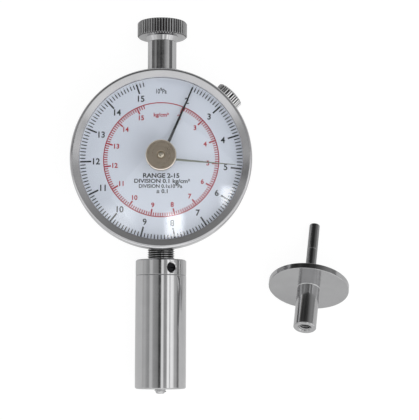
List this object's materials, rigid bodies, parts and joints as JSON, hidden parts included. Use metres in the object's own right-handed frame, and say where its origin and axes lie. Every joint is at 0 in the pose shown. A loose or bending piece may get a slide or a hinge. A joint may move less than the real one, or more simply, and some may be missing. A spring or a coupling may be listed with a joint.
{
  "type": "fruit firmness tester",
  "caption": "Hand-held fruit firmness tester: round dial with turning bezel and reset knob, spring barrel with plunger, hand knob, and its penetrating head with guard disc laid beside it.",
  "frame": {"origin": "on the dial axis, at the flat back face of the dial case, on which the tester lies", "axes": "+Z out of the dial, +Y along the barrel axis towards the hand knob, +X to the right of the dial as it is read"},
  "size_m": [0.0929, 0.1258, 0.0303],
  "materials": {
    "turned_steel": "turned, plain",
    "satin_case": "satin chrome plate on turned steel",
    "polished_bezel": "bright satin nickel-chrome plate",
    "polished_steel": "fine turned and polished",
    "knurled_steel": "straight knurl, satin",
    "clear_crystal": "clear domed acrylic",
    "dial_enamel": "matt bluish-white enamel with printed scales",
    "spacer_white": "matt light enamel",
    "black_needle": "matt black",
    "grey_needle": "grey-olive lacquer",
    "grey_brass": "dull nickel brass, turned",
    "brass": "plain turned brass",
    "black_oxide": "black oxide",
    "spring_steel": "drawn spring wire and strip"
  },
  "bodies": {
    "frame": {"case": "satin_case", "back_cover": "satin_case", "cover_screws": "turned_steel", "bezel_wire": "spring_steel", "front_bush": "brass", "pinion_bridge": "brass", "bridge_screws": "turned_steel", "clamp_shoe": "turned_steel", "lower_stem": "turned_steel", "collar": "polished_steel", "grub_screw": "black_oxide", "barrel": "polished_steel", "spring_washer": "turned_steel", "measuring_spring": "spring_steel", "top_stem": "polished_steel", "top_knob": "knurled_steel", "penetrating_head": "polished_steel", "splash_disc": "polished_steel"},
    "bezel_group": {"bezel": "polished_bezel", "dial_snap_ring": "spring_steel", "dial_plate": "dial_enamel", "spacer_ring": "spacer_white", "crystal": "clear_crystal", "reset_bush": "brass"},
    "plunger_group": {"plunger": "turned_steel", "rack": "brass", "rack_screws": "turned_steel"},
    "needle_group": {"pinion_arbor": "turned_steel", "needle": "black_needle"},
    "reset_group": {"reset_shaft": "turned_steel", "reset_knob": "grey_brass", "friction_washer": "spring_steel", "peak_needle": "grey_needle"},
    "clamp_group": {"clamp_screw": "knurled_steel"}
  },
  "joints": [
    {"name": "plunger_slide", "type": "slide", "parent": "frame", "child": "plunger_group", "axis": [0, 1, 0], "range_m": [0, 0.00834], "stiffness_N_per_m": 1470, "springref_m": -0.00129, "deforming": ["measuring_spring"]},
    {"name": "needle_turn", "type": "hinge", "parent": "frame", "child": "needle_group", "pos_m": [0, 0, 0.0164], "axis": [0, 0, 1], "range_deg": [-318.7, 0]},
    {"name": "bezel_turn", "type": "hinge", "parent": "frame", "child": "bezel_group", "pos_m": [0, 0, 0.0162], "axis": [0, 0, 1], "continuous": true},
    {"name": "reset_turn", "type": "hinge", "parent": "bezel_group", "child": "reset_group", "pos_m": [0, 0, 0.026], "axis": [0, 0, 1], "range_deg": [-247, 70]},
    {"name": "clamp_turn", "type": "hinge", "parent": "frame", "child": "clamp_group", "pos_m": [0.02095, 0.02147, 0.009], "axis": [0.6984, 0.7157, 0], "range_deg": [0, 360]}
  ],
  "couplings": [
    {"joint": "needle_turn", "follows": "plunger_slide", "rad_per_m": -666.67}
  ]
}
